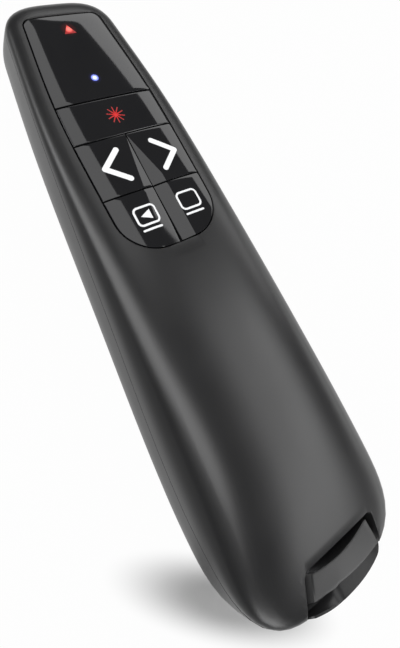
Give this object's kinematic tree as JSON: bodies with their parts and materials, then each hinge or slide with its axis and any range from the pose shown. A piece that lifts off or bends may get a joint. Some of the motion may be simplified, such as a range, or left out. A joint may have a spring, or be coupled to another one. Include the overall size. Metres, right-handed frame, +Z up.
{
  "type": "wireless presentation clicker",
  "caption": "Hand-held presentation remote with a glossy key panel, a laser in its nose, a sliding power switch, a hinged battery door and a receiver stored in its tail.",
  "frame": {"origin": "centre of the bounding box on the flat underside that the clicker rests on", "axes": "+Y towards the laser nose, +Z up out of the keys, +X to the right seen from above with the nose away"},
  "size_m": [0.0384, 0.13, 0.0245],
  "materials": {
    "satin_casing": "satin, fine soft-touch grain",
    "gloss_panel": "polished piano black",
    "inner_plastic": "matt moulded",
    "board_laminate": "solder mask",
    "bright_steel": "nickel plated",
    "barrel_brass": "turned",
    "gold_plating": "gold plated",
    "cell_wrap": "plain printed wrap over a metal can",
    "clear_lens": "clear",
    "red_light": "translucent red",
    "blue_light": "translucent blue-white"
  },
  "bodies": {
    "casing": {"upper_casing": "satin_casing", "lower_casing": "satin_casing", "indicator_window": "gloss_panel", "key_switches": "bright_steel", "circuit_board": "board_laminate", "board_screws": "bright_steel", "radio_chip": "inner_plastic", "crystal": "bright_steel", "pointer_led": "red_light", "pointer_light_guide": "red_light", "status_led": "blue_light", "status_light_guide": "blue_light", "laser_barrel": "barrel_brass", "laser_diode": "bright_steel", "laser_lens": "clear_lens", "laser_window": "clear_lens", "laser_leads": "gold_plating", "left_cell": "cell_wrap", "right_cell": "cell_wrap", "front_spring_contact": "bright_steel", "front_plate_contact": "bright_steel", "rear_bridge_contact": "bright_steel", "receiver_tray": "inner_plastic", "power_switch_case": "bright_steel", "casing_screws": "bright_steel"},
    "laser_key": {"laser_button": "gloss_panel", "laser_plunger": "inner_plastic"},
    "previous_key": {"previous_button": "gloss_panel", "previous_plunger": "inner_plastic"},
    "next_key": {"next_button": "gloss_panel", "next_plunger": "inner_plastic"},
    "play_key": {"play_button": "gloss_panel", "play_plunger": "inner_plastic"},
    "blank_screen_key": {"blank_screen_button": "gloss_panel", "blank_screen_plunger": "inner_plastic"},
    "power_slide": {"power_knob": "satin_casing"},
    "door": {"battery_door": "satin_casing"},
    "receiver": {"receiver_head": "satin_casing", "receiver_board": "board_laminate", "receiver_plug_shell": "bright_steel", "receiver_tongue": "inner_plastic", "receiver_contacts": "gold_plating"}
  },
  "joints": [
    {"name": "laser_press", "type": "slide", "parent": "casing", "child": "laser_key", "axis": [0, 0, -1], "range_m": [0, 0.0005], "stiffness_N_per_m": 1500},
    {"name": "previous_press", "type": "slide", "parent": "casing", "child": "previous_key", "axis": [0, 0, -1], "range_m": [0, 0.0005], "stiffness_N_per_m": 1500},
    {"name": "next_press", "type": "slide", "parent": "casing", "child": "next_key", "axis": [0, 0, -1], "range_m": [0, 0.0005], "stiffness_N_per_m": 1500},
    {"name": "play_press", "type": "slide", "parent": "casing", "child": "play_key", "axis": [0, 0, -1], "range_m": [0, 0.0005], "stiffness_N_per_m": 1500},
    {"name": "blank_screen_press", "type": "slide", "parent": "casing", "child": "blank_screen_key", "axis": [0, 0, -1], "range_m": [0, 0.0005], "stiffness_N_per_m": 1500},
    {"name": "power_slide", "type": "slide", "parent": "casing", "child": "power_slide", "axis": [0, 1, 0], "range_m": [0, 0.003]},
    {"name": "door_hinge", "type": "hinge", "parent": "casing", "child": "door", "pos_m": [0, 0.0052, 0.0009], "axis": [1, 0, 0], "range_deg": [0, 75]},
    {"name": "receiver_slide", "type": "slide", "parent": "casing", "child": "receiver", "axis": [0, -1, 0], "range_m": [0, 0.03]}
  ]
}
